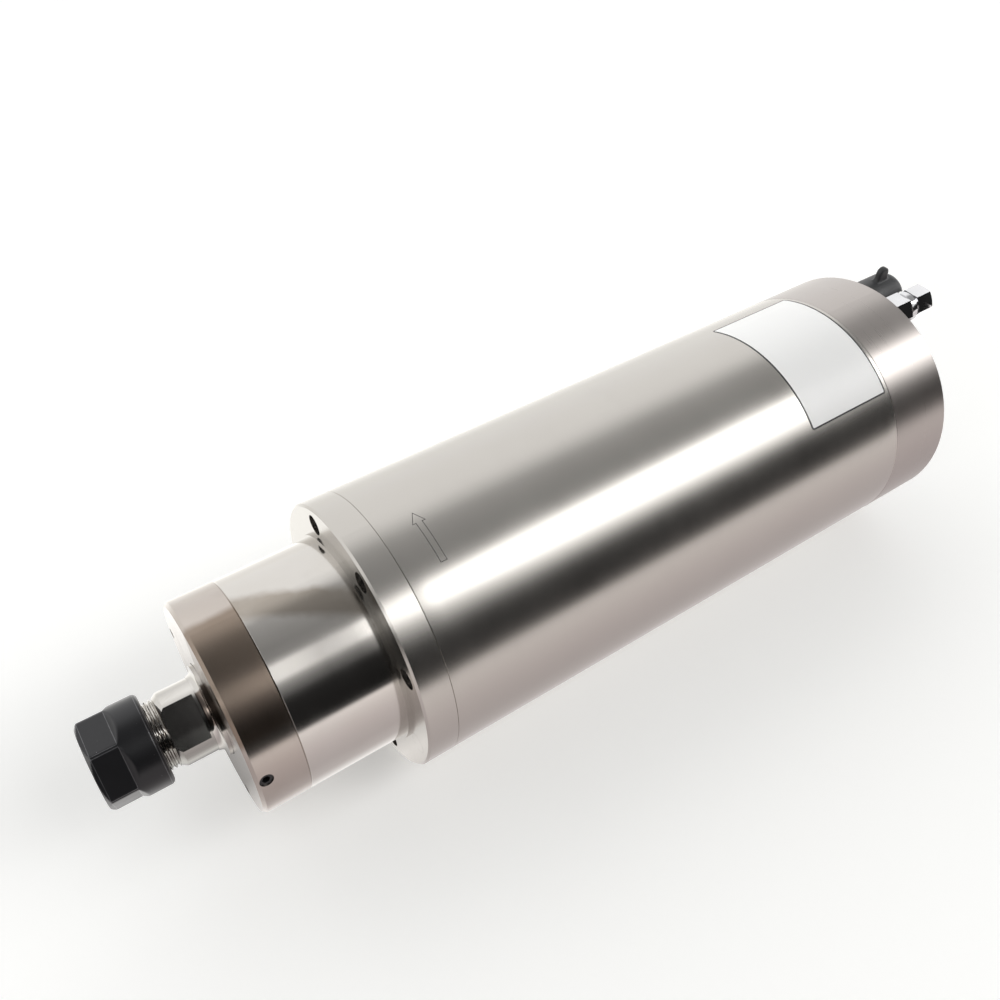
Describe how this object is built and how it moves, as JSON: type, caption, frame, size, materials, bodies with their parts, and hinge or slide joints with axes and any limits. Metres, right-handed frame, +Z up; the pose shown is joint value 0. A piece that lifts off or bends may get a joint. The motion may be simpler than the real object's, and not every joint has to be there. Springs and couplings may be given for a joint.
{
  "type": "water-cooled motor spindle",
  "caption": "Round water-cooled motor spindle with a slim nose, a coned spring collet under a hexagon nut, and hose fittings and a power socket on the rear cap.",
  "frame": {"origin": "on the spindle axis at the shoulder, where the slim nose meets the round body", "axes": "+X along the axis from the nose to the rear cap, +Z up with the spindle lying down"},
  "size_m": [0.3904, 0.105, 0.105],
  "materials": {
    "body_steel": "turned and polished stainless steel",
    "shaft_steel": "ground steel",
    "bearing_steel": "ground and polished steel",
    "black_oxide": "blackened steel, satin",
    "cast_aluminium": "turned aluminium",
    "tube_plastic": "clear-grey tube",
    "lamination": "stacked sheet steel",
    "winding": "varnished copper",
    "cage_resin": "fabric resin",
    "chrome_plate": "polished plate",
    "brass_trim": "satin brass",
    "black_rubber": "matt rubber",
    "insulator_resin": "moulded resin",
    "lead_cover": "silicone sleeve"
  },
  "bodies": {
    "housing": {"front_cap": "body_steel", "bearing_housing": "body_steel", "body_flange": "body_steel", "outer_jacket": "body_steel", "rear_cap": "body_steel", "outer_spacer": "shaft_steel", "front_outer_rings": "bearing_steel", "rear_outer_ring": "bearing_steel", "preload_springs": "bearing_steel", "flange_screws": "black_oxide", "rear_cap_screws": "black_oxide", "rear_housing_screws": "black_oxide", "cover_screws": "black_oxide", "port_screw": "black_oxide", "socket_screws": "black_oxide", "cooling_sleeve": "cast_aluminium", "rear_housing": "cast_aluminium", "bearing_cover": "cast_aluminium", "water_tubes": "tube_plastic", "stator_core": "lamination", "stator_windings": "winding", "outlet_fitting": "chrome_plate", "inlet_fitting": "chrome_plate", "socket_shell": "chrome_plate", "socket_pins": "brass_trim", "water_seals": "black_rubber", "socket_gasket": "black_rubber", "socket_insulator": "insulator_resin", "motor_leads": "lead_cover"},
    "shaft": {"spindle_shaft": "shaft_steel", "slinger_ring": "shaft_steel", "front_inner_rings": "bearing_steel", "inner_spacer": "shaft_steel", "front_locknut": "shaft_steel", "rotor_core": "lamination", "rotor_cage": "cast_aluminium", "rear_inner_ring": "bearing_steel", "rear_locknut": "shaft_steel"},
    "front_ball_set": {"front_balls": "bearing_steel", "front_cages": "cage_resin"},
    "rear_ball_set": {"rear_balls": "bearing_steel", "rear_ball_cage": "cage_resin"},
    "collet": {"spring_collet": "shaft_steel"},
    "nut": {"collet_nut": "black_oxide"},
    "outlet_ferrule": {"outlet_ferrule": "brass_trim"},
    "outlet_nut": {"outlet_nut": "chrome_plate"},
    "inlet_ferrule": {"inlet_ferrule": "brass_trim"},
    "inlet_nut": {"inlet_nut": "chrome_plate"},
    "dust_cap": {"dust_cap": "black_rubber"}
  },
  "joints": [
    {"name": "spindle_spin", "type": "hinge", "parent": "housing", "child": "shaft", "pos_m": [0, 0, 0], "axis": [1, 0, 0], "continuous": true},
    {"name": "front_balls_orbit", "type": "hinge", "parent": "housing", "child": "front_ball_set", "pos_m": [0, 0, 0], "axis": [1, 0, 0], "continuous": true},
    {"name": "rear_balls_orbit", "type": "hinge", "parent": "housing", "child": "rear_ball_set", "pos_m": [0.2, 0, 0], "axis": [1, 0, 0], "continuous": true},
    {"name": "collet_draw", "type": "slide", "parent": "shaft", "child": "collet", "axis": [-1, 0, 0], "range_m": [0, 0.0075]},
    {"name": "nut_turn", "type": "hinge", "parent": "collet", "child": "nut", "pos_m": [-0.0857, 0, 0], "axis": [-1, 0, 0], "range_deg": [0, 1800]},
    {"name": "outlet_ferrule_draw", "type": "slide", "parent": "housing", "child": "outlet_ferrule", "axis": [1, 0, 0], "range_m": [0, 0.002]},
    {"name": "outlet_nut_turn", "type": "hinge", "parent": "outlet_ferrule", "child": "outlet_nut", "pos_m": [0.28, -0.0058, 0.0416], "axis": [1, 0, 0], "range_deg": [0, 720]},
    {"name": "inlet_ferrule_draw", "type": "slide", "parent": "housing", "child": "inlet_ferrule", "axis": [1, 0, 0], "range_m": [0, 0.002]},
    {"name": "inlet_nut_turn", "type": "hinge", "parent": "inlet_ferrule", "child": "inlet_nut", "pos_m": [0.28, 0.0128, 0.0345], "axis": [1, 0, 0], "range_deg": [0, 720]},
    {"name": "dust_cap_pull", "type": "slide", "parent": "housing", "child": "dust_cap", "axis": [1, 0, 0], "range_m": [0, 0.03]}
  ],
  "couplings": [
    {"joint": "front_balls_orbit", "follows": "spindle_spin", "ratio": 0.39783},
    {"joint": "rear_balls_orbit", "follows": "spindle_spin", "ratio": 0.3974},
    {"joint": "nut_turn", "follows": "collet_draw", "rad_per_m": 4188.8},
    {"joint": "outlet_nut_turn", "follows": "outlet_ferrule_draw", "rad_per_m": 6283.2},
    {"joint": "inlet_nut_turn", "follows": "inlet_ferrule_draw", "rad_per_m": 6283.2}
  ]
}
